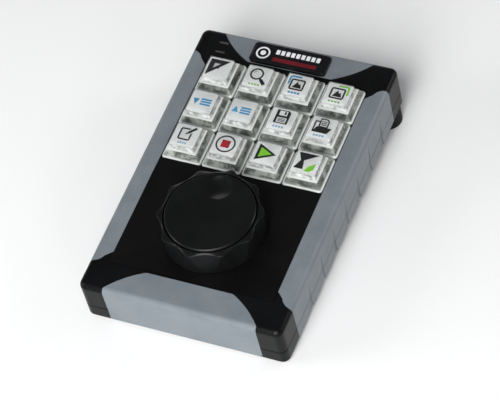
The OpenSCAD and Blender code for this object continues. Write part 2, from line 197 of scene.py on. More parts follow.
def addPiece(name, shells, materials, body, replaced=()):
    materials = materials if isinstance(materials, list) else [materials]
    marks = [shell[2] if len(shell) > 2 else 0 for shell in shells]
    counts = [len(shell[1]) for shell in shells]
    points, faces = joinShells([shell[:2] for shell in shells])
    mesh = bpy.data.meshes.new(name)
    mesh.from_pydata(toFrame(points).tolist(), [], faces)
    for material in materials:
        mesh.materials.append(material)
    mesh.polygons.foreach_set("material_index", np.repeat(marks, counts).astype(np.int32))
    mesh.shade_smooth()
    mesh.set_sharp_from_angle(angle=math.radians(sharpAngle))
    mesh.update()
    piece = bpy.data.objects.new(name, mesh)
    bpy.context.scene.collection.objects.link(piece)
    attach(piece, body)
    if replaced:
        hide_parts(*replaced)


# A value or colour inside a material. Arithmetic on it adds Math nodes.
class Flow:
    def __init__(self, shader, socket):
        self.shader, self.socket = shader, socket

    def math(self, operation, *others):
        return self.shader.node("Math", {"operation": operation}, self, *others)[0]

    def __add__(self, other):
        return self.math("ADD", other)

    def __sub__(self, other):
        return self.math("SUBTRACT", other)

    def __rsub__(self, other):
        return self.shader.node("Math", {"operation": "SUBTRACT"}, other, self)[0]

    def __mul__(self, other):
        return self.math("MULTIPLY", other)

    def __abs__(self):
        return self.math("ABSOLUTE")

    def over(self, other):
        return self.math("MAXIMUM", other)

    def under(self, other):
        return self.math("MINIMUM", other)

    # 0 below low, 1 above high, and an S curve between
    def ramp(self, low, high):
        node = self.shader.node("MapRange", {"interpolation_type": "SMOOTHSTEP"}, self, low, high, 0, 1)
        return node[0]

    __radd__ = __add__
    __rmul__ = __mul__


class Shader:
    def __init__(self, name, **plain):
        self.material = bpy.data.materials.new(name)
        self.material.use_nodes = True
        self.tree = self.material.node_tree
        self.surface = self.tree.nodes["Principled BSDF"]
        for socket, value in plain.items():
            self.surface.inputs[socket.replace("_", " ")].default_value = value
        self.place = self.levelPlace()

    # any node: its type, the settings that come first, and then the values or links of its sockets
    def node(self, kind, settings=None, *values, **named):
        made = self.tree.nodes.new("ShaderNode" + kind)
        for setting, value in (settings or {}).items():
            setattr(made, setting, value)
        sockets = [socket for socket in made.inputs if socket.enabled]
        pairs = list(zip(sockets, values)) + [(made.inputs[key], named[key]) for key in named]
        for socket, value in pairs:
            self.feed(socket, value)
        return [Flow(self, socket) for socket in made.outputs if socket.enabled]

    def feed(self, socket, value):
        if isinstance(value, Flow):
            self.tree.links.new(value.socket, socket)
        else:
            if socket.type == "RGBA" and len(value) == 3:
                value = (*value, 1)
            socket.default_value = value

    # the point on the surface, level and in millimetres
    def levelPlace(self):
        where = self.node("TexCoord")[3]
        lean = math.atan2(upward[1], upward[2])
        offset = -(axes.T @ levelOrigin) * perMetre
        return self.node("Mapping", {}, where, tuple(offset), (lean, 0, 0), (perMetre,) * 3)[0]

    def across(self):
        return self.node("SeparateXYZ", {}, self.place)

    def stretched(self, x, y, z):
        return self.node("Mapping", {}, self.place, (0, 0, 0), (0, 0, 0), (x, y, z))[0]

    # noise from 0 to 1 whose features are about so many millimetres across
    def noise(self, size, detail=2, rough=0.5, place=None):
        return self.node("TexNoise", {}, Vector=place or self.place, Scale=1 / size, Detail=detail,
            Roughness=rough)[0]

    def mix(self, factor, colourA, colourB):
        made = self.tree.nodes.new("ShaderNodeMix")
        made.data_type = "RGBA"
        for index, value in ((0, factor), (6, colourA), (7, colourB)):
            self.feed(made.inputs[index], value)
        return Flow(self, made.outputs[2])

    # relief of so many millimetres
    def bump(self, height, depth):
        return self.node("Bump", {}, Strength=1, Distance=depth / perMetre, Height=height)[0]

    # a second, solid plastic that shows through the first by a share
    def blend(self, share, colour, rough, normal):
        second = self.tree.nodes.new("ShaderNodeBsdfPrincipled")
        both = self.tree.nodes.new("ShaderNodeMixShader")
        for socket, value in (("Base Color", colour), ("Roughness", rough), ("Normal", normal)):
            self.feed(second.inputs[socket], value)
        self.feed(both.inputs[0], share)
        self.tree.links.new(self.surface.outputs[0], both.inputs[1])
        self.tree.links.new(second.outputs[0], both.inputs[2])
        self.tree.links.new(both.outputs[0], self.tree.nodes["Material Output"].inputs[0])
        return self

    def paint(self, **links):
        for socket, value in links.items():
            self.feed(self.surface.inputs[socket.replace("_", " ")], value)
        return self.material


# Moulded plastic: a pebbled grain in the normal, cloudy gloss, worn patches drawn out lengthwise and a little
# dust. Sizes are in millimetres, and each pair is where a noise starts to show and where it is full.
mouldedLook = {
    "cloudFrom": (0.3, 0.7), "speck": 0.5, "speckFrom": (0.7, 0.78), "rubSize": 1.2, "rubLong": 0.14,
    "rubFrom": (0.56, 0.8), "grainGloss": 0.12, "rubGloss": 0.1,
}


def mouldedPlastic(name, look):
    look = {**mouldedLook, **look}
    shader = Shader(name, IOR=1.5, Specular_IOR_Level=look["specular"])
    cloud = shader.noise(look["cloud"], 3)
    pebble = shader.noise(look["grain"], 3, 0.6)
    specks = shader.noise(look["speck"], 1).ramp(*look["speckFrom"]) * look["dust"]
    lengthwise = shader.stretched(1, look["rubLong"], 1)
    rubs = shader.noise(look["rubSize"], 4, 0.7, lengthwise).ramp(*look["rubFrom"]) * look["rub"]
    shade = shader.mix(cloud.ramp(*look["cloudFrom"]), look["deep"], look["pale"])
    shade = shader.mix((rubs + specks).under(1), shade, look["worn"])
    gloss = look["rough"] + (cloud - 0.5) * look["roughSpread"]
    gloss = gloss + (pebble - 0.5) * look["grainGloss"] + rubs * look["rubGloss"]
    normal = shader.bump(pebble, look["grainDepth"])
    return shader.paint(Base_Color=shade, Roughness=gloss, Normal=normal)


blackCaseLook = {
    "deep": (0.0018, 0.0019, 0.0021), "pale": (0.0036, 0.0038, 0.0042), "worn": (0.022, 0.023, 0.025),
    "cloud": 24, "grain": 0.35, "grainDepth": 0.014, "rough": 0.32, "roughSpread": 0.1,
    "dust": 0.1, "rub": 0.14, "specular": 0.12,
}
facePlateLook = {
    "deep": (0.001, 0.001, 0.0012), "pale": (0.0026, 0.0026, 0.0029), "worn": (0.016, 0.016, 0.017),
    "cloud": 30, "grain": 0.25, "grainDepth": 0.01, "rough": 0.46, "roughSpread": 0.1,
    "dust": 0.08, "rub": 0.1, "specular": 0.13,
}
knobLook = {
    "deep": (0.0026, 0.0027, 0.0029), "pale": (0.0042, 0.0044, 0.0046), "worn": (0.022, 0.022, 0.024),
    "cloud": 16, "grain": 0.22, "grainDepth": 0.006, "rough": 0.32, "roughSpread": 0.1,
    "dust": 0.05, "rub": 0.12, "specular": 0.17,
}
rubberLook = {
    "deep": (0.006, 0.006, 0.0063), "pale": (0.01, 0.01, 0.0104), "worn": (0.04, 0.039, 0.037),
    "cloud": 6, "grain": 0.4, "grainDepth": 0.03, "rough": 0.62, "roughSpread": 0.15,
    "dust": 0.15, "rub": 0.16, "specular": 0.1,
}
switchLook = {
    "deep": (0.018, 0.018, 0.02), "pale": (0.03, 0.03, 0.032), "worn": (0.08, 0.08, 0.08),
    "cloud": 5, "grain": 0.3, "grainDepth": 0.01, "rough": 0.45, "roughSpread": 0.1,
    "dust": 0.1, "rub": 0.1, "specular": 0.5,
}
blackCase = mouldedPlastic("blackCase", blackCaseLook)
facePlate = mouldedPlastic("facePlate", facePlateLook)
knobBlack = mouldedPlastic("knobBlack", knobLook)
footRubber = mouldedPlastic("footRubber", rubberLook)
switchDark = mouldedPlastic("switchDark", switchLook)


# Grey trim: satin plastic with fine lengthwise streaks, like drawn sheet.
greyTrimLook = {
    "deep": (0.125, 0.147, 0.164), "pale": (0.158, 0.180, 0.198), "worn": (0.24, 0.26, 0.28),
    "cloud": 14, "shadeFrom": (0.32, 0.68), "rough": 0.36, "cloudGloss": 0.12, "specular": 0.36,
    "streak": 0.35, "streakLong": 0.03, "streakShare": 0.3, "streakGloss": 0.16, "rubSize": 2.2,
    "rubFrom": (0.3, 0.5), "rub": 0.25, "fine": 0.18, "fineShare": 0.4, "depth": 0.012,
}


def greyTrim(name, look, stretch):
    shader = Shader(name, Specular_IOR_Level=look["specular"])
    streaks = shader.noise(look["streak"], 3, 0.6, shader.stretched(*stretch))
    cloud = shader.noise(look["cloud"], 4, 0.6)
    fine = shader.noise(look["fine"], 2)
    tone = cloud * (1 - look["streakShare"]) + streaks * look["streakShare"]
    shade = shader.mix(tone.ramp(*look["shadeFrom"]), look["deep"], look["pale"])
    rubs = (shader.noise(look["rubSize"], 4, 0.7) * streaks).ramp(*look["rubFrom"]) * look["rub"]
    shade = shader.mix(rubs, shade, look["worn"])
    gloss = look["rough"] + (streaks - 0.5) * look["streakGloss"] + (cloud - 0.5) * look["cloudGloss"]
    normal = shader.bump(streaks * (1 - look["fineShare"]) + fine * look["fineShare"], look["depth"])
    return shader.paint(Base_Color=shade, Roughness=gloss, Normal=normal)


greySide = greyTrim("greySide", greyTrimLook, (1, greyTrimLook["streakLong"], 1))
greyEnd = greyTrim("greyEnd", greyTrimLook, (greyTrimLook["streakLong"], 1, 1))


# Clear plastic: glass, mixed with a scatter that stands for the light caught inside it. The scatter is
# whitest at the foot and the crown, a painted highlight along the rims, and slow clouds and faint upright
# flow lines part it between them; on the bases the clouds' dark patches are partly the plastic's own haze
# and partly painted reflection and shade of the dark parts inside.
clearLook = {
    "ior": 1.49, "specular": 0.3, "tintFar": (0.98, 1.0, 0.99), "flow": 1.6, "flowDepth": 0.015,
    "smudgeSize": 2.4, "smudgeFrom": (0.5, 0.75), "line": 0.5, "lineLong": 0.12, "lineShare": 0.15,
    "cloudFrom": (0.32, 0.66), "scatterRough": 0.3,
}
# On the bases, deep is partly painted reflection and shade of the dark parts inside, and the rim colour and
# its share are a painted highlight at the foot and the crown.
clearBaseLook = {
    "tint": (0.93, 0.96, 0.95), "rough": 0.04, "smudge": 0.05, "clearest": 0.22, "cloudiest": 0.62,
    "edge": 0.72, "mottle": 4.6, "deep": (0.15, 0.165, 0.15), "pale": (0.44, 0.47, 0.43),
    "rimHighlightColour": (0.72, 0.74, 0.72), "foot": (0.1, 0.6), "crown": (3.45, 3.66),
}
clearLidLook = {
    "tint": (0.97, 0.98, 0.98), "rough": 0.015, "smudge": 0.015, "clearest": 0.4, "cloudiest": 0.7,
    "edge": 0.0, "mottle": 2.6, "deep": (0.5, 0.52, 0.5), "pale": (0.86, 0.87, 0.86),
    "rimHighlightColour": (0.9, 0.9, 0.9), "foot": (3.75, 3.95), "crown": (6.2, 6.55),
}


def clearPlastic(name, look):
    look = {**clearLook, **look}
    shader = Shader(name, Transmission_Weight=1.0, IOR=look["ior"], Specular_IOR_Level=look["specular"])
    height = shader.across()[2]
    flow = shader.noise(look["flow"], 3)
    smudge = shader.noise(look["smudgeSize"], 4, 0.7).ramp(*look["smudgeFrom"]) * look["smudge"]
    normal = shader.bump(flow, look["flowDepth"])
    tint = shader.mix(flow, look["tint"], look["tintFar"])
    slow = shader.noise(look["mottle"], 2, 0.5)
    lines = shader.noise(look["line"], 2, 0.5, shader.stretched(1, 1, look["lineLong"]))
    # painted light: the clouds' dark patches are partly painted reflection and shade, and the foot and crown
    # turn whiter as a painted highlight
    cloud = (slow * (1 - look["lineShare"]) + lines * look["lineShare"]).ramp(*look["cloudFrom"])
    rimHighlightMask = (1 - height.ramp(*look["foot"])).over(height.ramp(*look["crown"]))
    scatter = shader.mix(rimHighlightMask, shader.mix(cloud, look["deep"], look["pale"]), look["rimHighlightColour"])
    inner = look["clearest"] + cloud * (look["cloudiest"] - look["clearest"])
    share = inner + (look["edge"] - inner) * rimHighlightMask
    return shader.blend(share, scatter, look["scatterRough"], normal).paint(
        Base_Color=tint, Roughness=look["rough"] + smudge, Normal=normal)


clearBasePlastic = clearPlastic("clearBasePlastic", clearBaseLook)
clearLidPlastic = clearPlastic("clearLidPlastic", clearLidLook)


# Card and inks: paper fibre under the print, ink that is slightly starved in faint patches.
printLook = {
    "specular": 0.2, "fibre": 0.12, "fibreDepth": 0.006, "blot": 1.1, "blotShare": 0.5,
    "starvedFrom": (0.3, 0.75), "starvedGain": 1.12, "starvedLift": 0.004, "rough": 0.55, "spread": 0.15,
}
inkLook = {
    "card": (0.9, 0.9, 0.89), "black": (0.003, 0.003, 0.003), "blue": (0.05, 0.34, 0.62),
    "paleBlue": (0.28, 0.47, 0.66), "green": (0.25, 0.7, 0.03), "paleGreen": (0.33, 0.53, 0.22),
    "red": (0.46, 0.004, 0.014), "white": (0.62, 0.62, 0.64), "darkRed": (0.10, 0.003, 0.006),
}


def printed(name, colour, look):
    shader = Shader(name, Specular_IOR_Level=look["specular"])
    fibre = shader.noise(look["fibre"], 3, 0.7)
    blot = shader.noise(look["blot"], 2)
    starved = tuple(min(1.0, channel * look["starvedGain"] + look["starvedLift"]) for channel in colour)
    cover = fibre * (1 - look["blotShare"]) + blot * look["blotShare"]
    shade = shader.mix(cover.ramp(*look["starvedFrom"]), colour, starved)
    return shader.paint(Base_Color=shade, Roughness=look["rough"] + (fibre - 0.5) * look["spread"],
        Normal=shader.bump(fibre, look["fibreDepth"]))


inks = {name: printed("ink_" + name, colour, printLook) for name, colour in inkLook.items()}


# Gloss plaque: lacquer over black, with hairline polishing marks.
plaqueLook = {
    "deep": (0.004, 0.004, 0.005), "pale": (0.008, 0.008, 0.009), "specular": 0.15, "coatRough": 0.05,
    "coatIor": 1.4, "hair": 0.2, "hairLong": 0.05, "hairDepth": 0.002, "cloud": 9, "rough": 0.14,
    "hairGloss": 0.1, "coat": 0.07, "coatSpread": 0.08,
}


def glossPlaque(name, look):
    shader = Shader(name, Coat_Roughness=look["coatRough"], Coat_IOR=look["coatIor"],
        Specular_IOR_Level=look["specular"])
    hair = shader.noise(look["hair"], 3, 0.7, shader.stretched(look["hairLong"], 1, 1))
    cloud = shader.noise(look["cloud"], 3)
    return shader.paint(Base_Color=shader.mix(cloud, look["deep"], look["pale"]),
        Roughness=look["rough"] + hair * look["hairGloss"],
        Coat_Weight=look["coat"] + cloud * look["coatSpread"], Normal=shader.bump(hair, look["hairDepth"]))


plaqueGloss = glossPlaque("plaqueGloss", plaqueLook)


# Metal: brushed along x or rolled evenly, with a little tarnish.
metalLook = {
    "brush": 0.15, "brushDepth": 0.006, "brushGloss": 0.14, "tarnish": 3, "tarnishFrom": (0.45, 0.8),
    "tarnishShare": 0.6, "tarnishGloss": 0.12,
}
brushed, even = (0.06, 1, 1), (1, 1, 1)
metalLooks = {
    "plateSteel": {"deep": (0.3, 0.3, 0.3), "pale": (0.52, 0.52, 0.53), "rough": 0.3, "grain": brushed},
    "brightMetal": {"deep": (0.4, 0.4, 0.39), "pale": (0.66, 0.66, 0.67), "rough": 0.2, "grain": brushed},
    "screwZinc": {"deep": (0.26, 0.25, 0.22), "pale": (0.48, 0.48, 0.46), "rough": 0.3, "grain": even},
    "springSteel": {"deep": (0.3, 0.24, 0.12), "pale": (0.62, 0.54, 0.34), "rough": 0.25, "grain": even},
}


def metal(name, look):
    look = {**metalLook, **look}
    shader = Shader(name, Metallic=1.0)
    brush = shader.noise(look["brush"], 3, 0.6, shader.stretched(*look["grain"]))
    tarnish = shader.noise(look["tarnish"], 4, 0.6).ramp(*look["tarnishFrom"])
    shade = shader.mix(tarnish * look["tarnishShare"], look["pale"], look["deep"])
    gloss = look["rough"] + brush * look["brushGloss"] + tarnish * look["tarnishGloss"]
    return shader.paint(Base_Color=shade, Roughness=gloss, Normal=shader.bump(brush, look["brushDepth"]))


metals = {name: metal(name, look) for name, look in metalLooks.items()}


# Circuit board: green lacquer, with paler traces in even rows where a slow noise lets them run.
boardLook = {
    "between": (0.012, 0.075, 0.03), "trace": (0.03, 0.14, 0.06), "rowsPerMm": 0.7, "traceFrom": (0.06, 0.1),
    "run": 6, "runFrom": (0.5, 0.52), "coat": 0.5, "coatRough": 0.15, "rough": 0.35, "spread": 0.1,
}


def circuitGreen(name, look):
    shader = Shader(name, Coat_Weight=look["coat"], Coat_Roughness=look["coatRough"])
    row = (shader.across()[0] * look["rowsPerMm"]).math("FRACT")
    traces = abs(row - 0.5).ramp(*look["traceFrom"]) * shader.noise(look["run"], 1).ramp(*look["runFrom"])
    shade = shader.mix(traces, look["between"], look["trace"])
    return shader.paint(Base_Color=shade, Roughness=look["rough"] + shader.noise(1, 2) * look["spread"])


boardGreen = circuitGreen("boardGreen", boardLook)


# Status windows: smoked plastic with a slow swirl.
windowLook = {
    "deep": (0.05, 0.05, 0.05), "pale": (0.1, 0.098, 0.095), "clear": 0.25, "ior": 1.5, "swirl": 0.8,
    "rough": 0.12, "swirlGloss": 0.06,
}


def smokedWindow(name, look):
    shader = Shader(name, Transmission_Weight=look["clear"], IOR=look["ior"])
    swirl = shader.noise(look["swirl"], 2)
    return shader.paint(Base_Color=shader.mix(swirl, look["deep"], look["pale"]),
        Roughness=look["rough"] + swirl * look["swirlGloss"])


windowSmoke = smokedWindow("windowSmoke", windowLook)
print("materials made,", len(bpy.data.materials))

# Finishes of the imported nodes. The keys' nodes take clear plastic, and their cards take card.
nodeFinish = {
    "top_shell": blackCase, "bottom_shell": blackCase, "rail_left": greySide, "rail_right": greySide,
    "front_panel": greyEnd, "rear_panel": greyEnd, "faceplate": facePlate, "badge": plaqueGloss,
    "status_windows": windowSmoke, "switch_plate": metals["plateSteel"], "switch_housings": switchDark,
    "switch_springs": metals["springSteel"], "circuit_board": boardGreen,
    "usb_socket": metals["brightMetal"], "case_screws": metals["screwZinc"],
    "inner_screws": metals["screwZinc"], "front_feet": footRubber, "rear_feet": footRubber,
    "encoder_body": switchDark, "bush_nut": metals["brightMetal"], "jog_wheel": knobBlack,
    "jog_shaft": metals["brightMetal"], "shuttle_ring": knobBlack, "shuttle_sleeve": metals["brightMetal"],
}
for name, node in nodes.items():
    finish = nodeFinish.get(name, clearBasePlastic)
    if name.startswith("key_card"):
        finish = inks["card"]
    node.data.materials.clear()
    node.data.materials.append(finish)
print("nodes finished")

# Keys. Heights are level ones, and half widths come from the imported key. A section's third number is the
# radius of its corner.
keyShape = {
    "rimLow": -1.0, "rimHigh": -0.1, "flangeHigh": 0.3, "flangeIn": 0.7, "shoulderIn": 2.2,
    "shoulder": 3.7, "deck": 0.8, "deckIn": 0.9, "draft": 0.1, "wall": 1.0, "corner": 1.5,
    "platformIn": 0.3, "platformFoot": 0.08, "lid": 0.65, "lidGap": 0.05, "lidCorner": 1.0,
    "lidBevel": (0.25, 0.4), "lidTopIn": 0.55, "card": 0.3, "cardRoom": 0.1, "cardLower": 0.1,
    "cardCorner": 0.6, "cardEdge": 0.03, "printLower": 0.08, "printScale": 1.22,
}
plungerShape = {
    "noseR": 2, "noseHigh": 1.2, "collarR": 3.9, "collarHigh": 2.2, "collarLip": 0.05, "guideR": 3,
    "pegR": 2.8, "pegLong": 3.05, "pegLip": 0.05, "gap": 0.02, "columns": 40,
}
keyRows = ("1", "2", "3")
keyColumns = ("1", "2", "3", "4")


def clearBase(centre, half, platform, top, shape):
    s = shape
    deck = s["shoulder"] - s["deck"]
    seat = top - s["lid"] - s["card"] - 2 * s["lidGap"]
    inside = half - s["wall"]
    section = roundedSection([
        (onAxis, deck, 0), (half - s["shoulderIn"] - s["deckIn"], deck, 0.5), (inside - s["draft"], 0, 0.2),
        (inside, s["rimLow"], 0.08), (half, s["rimLow"], 0.1), (half, s["rimHigh"], 0.12),
        (half - s["flangeIn"], s["flangeHigh"], 0.2), (half - s["shoulderIn"], s["shoulder"], 0.35),
        (platform + s["platformFoot"], s["shoulder"], 0.05), (platform, seat, 0.15), (onAxis, seat, 0)])
    rows = np.c_[half - section[:, 0], section[:, 1]]
    return skin(carriedRound(rows, half, half, s["corner"], centre))


def clearLid(centre, half, card, top, shape):
    s = shape
    foot = s["shoulder"] + s["lidGap"]
    inside = card + s["cardRoom"]
    bevelIn, bevelDown = s["lidBevel"]
    section = roundedSection([
        (onAxis, top - s["lid"], 0), (inside, top - s["lid"], 0.1), (inside, foot, 0.05),
        (half, foot, 0.06), (half - bevelIn, top - bevelDown, 0.3), (half - s["lidTopIn"], top, 0.25),
        (onAxis, top, 0)])
    rows = np.c_[half - section[:, 0], section[:, 1]]
    return skin(carriedRound(rows, half, half, s["lidCorner"], centre))


def cardSheet(centre, half, low, high, shape):
    edge = shape["cardEdge"]
    section = roundedSection([(onAxis, low, 0), (half, low, edge), (half, high, edge), (onAxis, high, 0)], 2)
    rows = np.c_[half - section[:, 0], section[:, 1]]
    return skin(carriedRound(rows, half, half, shape["cardCorner"], centre))


# The dark plunger under the base: nose, collar, guide and peg, turned round the key's axis.
def keyPlunger(centre, low, top, shape):
    s = shape
    nose, collar, peg = low + s["noseHigh"], low + s["collarHigh"], top - s["pegLong"]
    section = roundedSection([
        (onAxis, low, 0), (s["noseR"], low, 0.3), (s["noseR"], nose, 0), (s["collarR"], nose, 0.15),
        (s["collarR"], collar, 0.15), (s["guideR"], collar + s["collarLip"], 0), (s["guideR"], peg, 0.2),
        (s["pegR"], peg + s["pegLip"], 0), (s["pegR"], top, 0.1), (onAxis, top, 0)])
    return skin(turned(section, centre, s["columns"]))


# Signs on the cards, in millimetres from the card's middle. None is lettering.
def arcPoints(x, y, radius, start, end, count):
    angle = np.radians(np.linspace(start, end, count))
    return np.c_[x + radius * np.cos(angle), y + radius * np.sin(angle)]


def disc(x, y, radius, count=36):
    return arcPoints(x, y, radius, 0, 360 - 360 / count, count)


# a rectangle between two corners, with round corners
def panel(left, low, right, high, radius=0.0):
    if radius <= 0:
        return np.array([(left, low), (right, low), (right, high), (left, high)], float)
    quarters = [(right - radius, high - radius, 0), (left + radius, high - radius, 90),
        (left + radius, low + radius, 180), (right - radius, low + radius, 270)]
    return np.vstack([arcPoints(x, y, radius, start, start + 90, 7) for x, y, start in quarters])


# a stroke of even width along an open line: each point is moved to both sides along its own mitre
def stroke(line, width):
    line = np.asarray(line, float)
    along = np.diff(line, axis=0)
    along /= np.linalg.norm(along, axis=1)[:, None]
    sides = np.c_[-along[:, 1], along[:, 0]]
    mitre = np.vstack([sides[:1], sides[1:] + sides[:-1], sides[-1:]])
    mitre /= np.linalg.norm(mitre, axis=1)[:, None]
    reach = width / 2 / np.sum(mitre * np.vstack([sides[:1], sides]), axis=1)[:, None]
    return np.vstack([line - mitre * reach, (line + mitre * reach)[::-1]])


# an outline and the same moved inwards by the width of a line
def framed(left, low, right, high, radius, width):
    inner = max(radius - width, 0.02)
    return (panel(left, low, right, high, radius),
        panel(left + width, low + width, right - width, high - width, inner))


def caption(colour, width):
    starts = np.linspace(-width / 2, width / 2, 4, endpoint=False)
    return [(colour, panel(x, -3.8, x + width / 4 - 0.3, -2.95, 0.12)) for x in starts]


def triangle(left, low, right, high):
    return [(left, low), (right, (low + high) / 2), (left, high)]


def contrastSign():
    return [("black", [(-3.95, 3.95), (-3.95, -3.6), (3.6, 3.95)]),
        ("white+", panel(-2.0, -0.1, 0.3, 2.2)), ("black+", [(-2.0, -0.1), (0.3, -0.1), (0.3, 2.2)])]


def lensSign():
    return [("black", disc(-0.6, 1.3, 2.6), disc(-0.6, 1.3, 1.95)),
        ("black", stroke([(1.1, -0.4), (1.8, -1.1)], 0.8)),
        ("black", stroke([(1.6, -0.9), (3.5, -2.8)], 1.3)),
        ("paleGreen", stroke(arcPoints(-0.6, 1.3, 1.3, 100, 170, 7), 0.35)), *caption("paleGreen", 4.6)]


def frameSign(colour, side):
    bracket = [(side * -0.6, 3.75), (side * 3.0, 3.75), (side * 3.5, 3.25), (side * 3.5, 0.1)]
    return [("black", *framed(-2.9, -2.1, 2.7, 2.8, 0.8, 0.65)),
        ("black", [(-1.8, -1.1), (-0.2, 1.8), (0.5, 0.4), (0.95, 1.0), (1.8, -1.1)]),
        (colour, stroke(bracket, 0.7)), *caption(colour if colour != "green" else "paleGreen", 4.8)]


def storeSign(pointsUp):
    tip = 1 if pointsUp else -1
    arrow = [(-3.6, -1.1 * tip), (-1.1, -1.1 * tip), (-2.35, 1.5 * tip)]
    bars = [panel(-0.5, y, 3.5 if y else 2.3, y + 0.75, 0.15) for y in (-1.4, -0.3, 0.8)]
    return [("blue", arrow)] + [("blue", bar) for bar in bars]


def diskSign():
    body = [(-2.7, -1.9), (2.6, -1.9), (2.6, 3.2), (1.8, 4.0), (-2.7, 4.0)]
    return [("black", body), ("card+", panel(-1.6, 1.6, 1.4, 3.6)), ("card+", panel(-1.8, -1.5, 1.8, 0.7)),
        ("black++", panel(0.3, 2.1, 1.0, 3.3)),
        *[("black++", panel(-1.4, y, 1.4, y + 0.28)) for y in (-1.05, -0.5, 0.05)], *caption("paleBlue", 4.4)]


def folderSign():
    page = [(-1.4, 0.5), (1.7, 0.5), (1.7, 3.1), (0.9, 3.9), (-1.4, 3.9), (-1.4, 0.5)]
    signs = [("black", [(-3.2, -2.1), (2.4, -2.1), (3.6, 0.4), (-2.1, 0.4)]),
        ("black", stroke([(-3.1, -2.0), (-3.1, 2.6), (-1.6, 2.6)], 0.55)),
        ("black", stroke(page, 0.5))]
    signs += [("black", stroke([(-0.9, y), (1.2, y)], 0.35)) for y in (1.4, 2.1, 2.8)]
    return signs + caption("paleBlue", 4.4)


def editSign():
    return [("black", *framed(-2.7, -2.1, 2.1, 3.2, 0.8, 0.6)),
        ("card+", stroke([(0.3, 1.0), (3.3, 4.0)], 1.8)), ("black++", stroke([(0.5, 1.2), (3.1, 3.8)], 1.0)),
        ("black++", [(-0.4, 0.3), (0.75, 0.8), (0.1, 1.45)]), *caption("paleBlue", 3.6)]


def stopSign():
    return [("black", disc(0, 0.2, 3.7, 48), disc(0, 0.2, 3.1, 48)), ("red", panel(-1.6, -1.4, 1.6, 1.8))]


def playSign():
    return [("black", triangle(-3.3, -3.5, 4.0, 3.7)), ("green+", triangle(-2.3, -2.1, 2.3, 2.3))]


# a folded wedge with a small leaf below it
def markerSign():
    return [("black", [(-3.9, 3.9), (3.7, 3.9), (-1.1, 0.7), (-0.4, -3.0), (-3.9, -3.0), (-2.3, 0.6)]),
        ("green", [(0.3, -3.6), (1.2, -1.6), (3.7, 0.3), (3.5, -2.4), (2.2, -3.7)])]


keySigns = {
    "11": editSign(), "12": stopSign(), "13": playSign(), "14": markerSign(),
    "21": storeSign(False), "22": storeSign(True), "23": diskSign(), "24": folderSign(),
    "31": contrastSign(), "32": lensSign(), "33": frameSign("blue", -1), "34": frameSign("green", 1),
}


# A print lies on its surface, and each plus sign in its colour lays it one film higher. A sign with one
# outline is filled, and one with two is the band between them.
filmHigh = 0.03


def printShells(signs, centre, level, scale=1.0):
    names, shells = [], []
    for mark, *lines in signs:
        colour = mark.rstrip("+")
        outlines = [np.asarray(line, float) * scale + centre for line in lines]
        low = level + filmHigh * mark.count("+")
        if colour not in names:
            names.append(colour)
        shape = slab if len(outlines) == 1 else hoop
        shells.append((*shape(*outlines, low, low + filmHigh), names.index(colour)))
    return shells, [inks[name] for name in names]


def makeKey(number, shape):
    body = "key_" + number
    middle = levelMiddle("key_card_" + number)[:2]
    halfBase, halfLid = levelHalf("key_base_" + number), levelHalf("key_cap_" + number)
    halfCard = levelHalf("key_card_" + number)
    bottom = levelBox("key_base_" + number)[0][2]
    top = levelBox("key_cap_" + number)[1][2]
    cardLow, cardHigh = (corner[2] for corner in levelBox("key_card_" + number))
    pegTop = shape["shoulder"] - shape["deck"] - plungerShape["gap"]
    base = clearBase(middle, halfBase, halfCard - shape["platformIn"], top, shape)
    addPiece("keyBase_" + number, [base], clearBasePlastic, body, ["key_base_" + number])
    lid = clearLid(middle, halfLid, halfCard, top, shape)
    addPiece("keyLid_" + number, [lid], clearLidPlastic, body, ["key_cap_" + number])
    card = cardSheet(middle, halfCard, cardLow, cardHigh - shape["cardLower"], shape)
    addPiece("keyCard_" + number, [card], inks["card"], body, ["key_card_" + number])
    plunger = keyPlunger(middle, bottom, pegTop, plungerShape)
    addPiece("keyPlunger_" + number, [plunger], switchDark, body)
    signs, level = keySigns[number], cardHigh - shape["printLower"]
    shells, colours = printShells(signs, middle, level, shape["printScale"])
    addPiece("keyPrint_" + number, shells, colours, body)


for row in keyRows:
    for column in keyColumns:
        makeKey(row + column, keyShape)
print("keys made")

# Knob: a jog wheel with a finger dimple, inside a scalloped shuttle ring.
jogShape = {
    "slab": 2.5, "skirt": 2.0, "bore": 1.9, "boreGap": 0.03, "boss": 3, "skirtWall": 2, "edge": 0.5,
    "flatIn": 0.9, "dimpleR": 6.3, "dimpleDepth": 1.8, "dimpleIn": 0.6, "dimpleTurn": 95,
    "dimpleSoft": 0.35, "rings": 100, "columns": 200,
}
ringShape = {
    "wall": 2.8, "low": 0.6, "drop": 1.2, "edge": 0.25, "crown": 0.5, "lip": 1.5, "skirt": 2.2,
    "web": 4.0, "webT": 2.0, "hub": 6.0, "hubHigh": 1.5, "boreGap": 0.015, "scallops": 10,
    "scallopPhase": 34, "scallopR": 19, "scallopDepth": 1.9, "scallopLean": 9, "scallopSoft": 0.35,
    "rows": 40, "columns": 360,
}
jogTop = levelBox("jog_wheel")[1][2]
ringLow, ringHigh = levelBox("shuttle_ring")
ringR = (ringHigh - ringLow)[:2].max() / 2
jogR, sleeveR, shaftR = levelHalf("jog_wheel"), levelHalf("shuttle_sleeve"), levelHalf("jog_shaft")
knobMiddle = levelMiddle("jog_shaft")[:2]


# the lower of two heights, with the crease between them rounded over a width
def softMin(a, b, width):
    share = np.clip(0.5 + (b - a) / (2 * width), 0, 1)
    return b + (a - b) * share - width * share * (1 - share)


